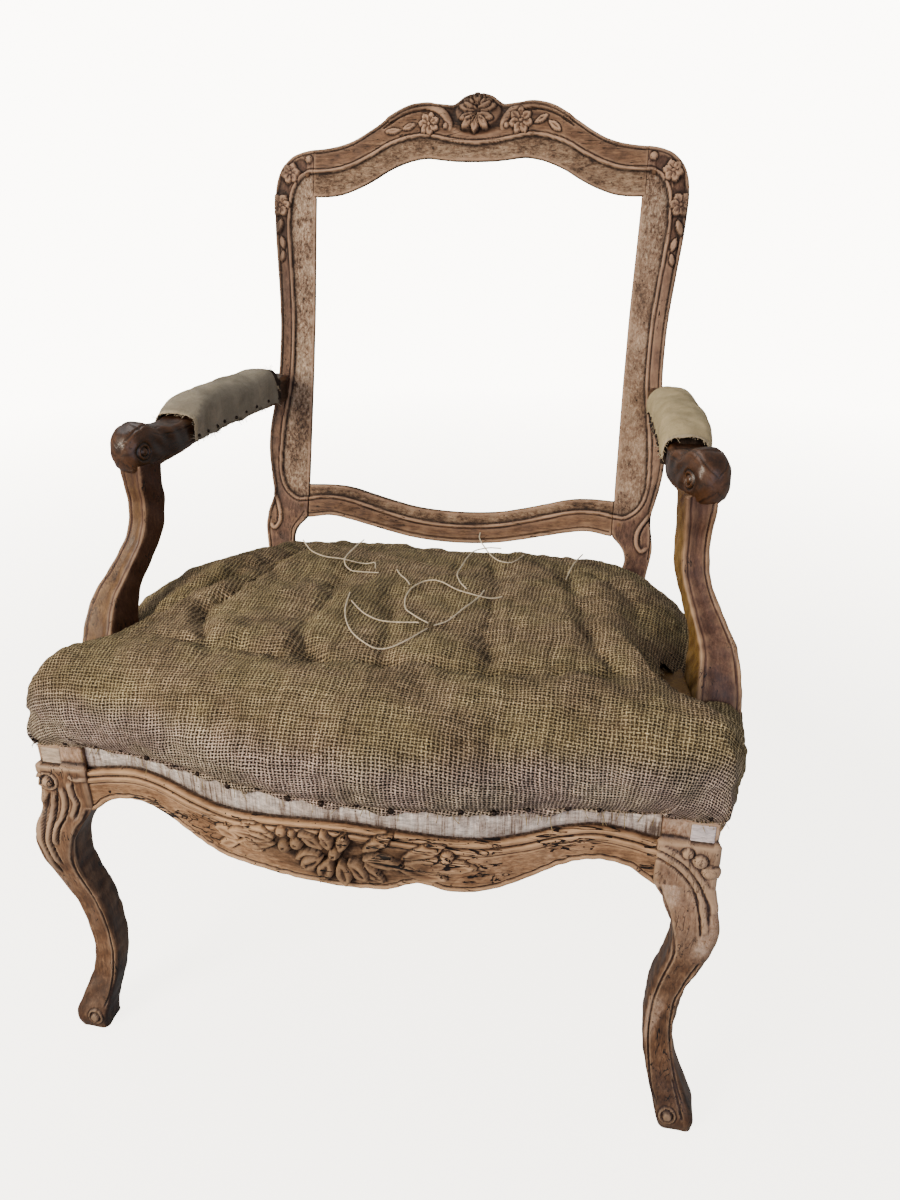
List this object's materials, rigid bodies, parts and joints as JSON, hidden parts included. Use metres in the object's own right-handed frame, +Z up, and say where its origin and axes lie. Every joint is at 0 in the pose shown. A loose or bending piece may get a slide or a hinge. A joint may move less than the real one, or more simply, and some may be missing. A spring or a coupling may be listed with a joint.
{
  "type": "open armchair stripped for reupholstery",
  "caption": "Old open armchair with a carved cabriole wooden frame, an open raked back, a stuffed seat under scrim and small calico arm pads.",
  "frame": {"origin": "on the floor, midway between the chair's outermost left and right points and its front and rear ones", "axes": "+Z up, the seat faces -Y, +X to the right of someone who looks at the front"},
  "size_m": [0.67, 0.693, 0.9311],
  "materials": {
    "wood_back": "dry, stripped walnut-brown wood with old stain in its grooves",
    "wood_seat": "dry, stripped wood, carved and worn, with cracks and wormholes",
    "wood_arm": "dark old varnish, worn through to tan wood on the edges",
    "pale_wood": "pale new wood let in as a repair, unfinished",
    "peg_wood": "dark oak pegs, cut flush",
    "jute_web": "coarse woven jute webbing",
    "canvas": "close-woven base canvas, dusty",
    "horsehair": "curled black-brown horsehair",
    "scrim": "open-weave jute scrim, dirty and frayed at the edges",
    "calico": "old off-white calico, stained, with a ragged tacked edge",
    "twine": "waxed linen stitching twine"
  },
  "bodies": {
    "root": {"base_canvas": "canvas", "crest_rail": "wood_back", "cross_web_1": "jute_web", "cross_web_2": "jute_web", "cross_web_3": "jute_web", "cross_web_4": "jute_web", "front_seat_rail": "wood_seat", "left_arm": "wood_arm", "left_arm_calico": "calico", "left_arm_pad": "horsehair", "left_arm_peg": "peg_wood", "left_arm_support": "wood_arm", "left_back_post": "wood_back", "left_corner_patch": "pale_wood", "left_crest_peg": "peg_wood", "left_front_leg": "wood_seat", "left_front_peg_1": "peg_wood", "left_front_peg_2": "peg_wood", "left_lower_peg": "peg_wood", "left_side_peg_1": "peg_wood", "left_side_peg_2": "peg_wood", "left_side_rail": "wood_seat", "long_web_1": "jute_web", "long_web_2": "jute_web", "long_web_3": "jute_web", "long_web_4": "jute_web", "lower_back_rail": "wood_back", "rear_seat_rail": "wood_seat", "right_arm": "wood_arm", "right_arm_calico": "calico", "right_arm_pad": "horsehair", "right_arm_peg": "peg_wood", "right_arm_support": "wood_arm", "right_back_post": "wood_back", "right_corner_patch": "pale_wood", "right_crest_peg": "peg_wood", "right_front_leg": "wood_seat", "right_front_peg_1": "peg_wood", "right_front_peg_2": "peg_wood", "right_lower_peg": "peg_wood", "right_side_peg_1": "peg_wood", "right_side_peg_2": "peg_wood", "right_side_rail": "wood_seat", "seat_scrim": "scrim", "seat_stuffing": "horsehair", "twine_1": "twine", "twine_10": "twine", "twine_2": "twine", "twine_3": "twine", "twine_4": "twine", "twine_5": "twine", "twine_6": "twine", "twine_7": "twine", "twine_8": "twine", "twine_9": "twine"}
  },
  "joints": []
}
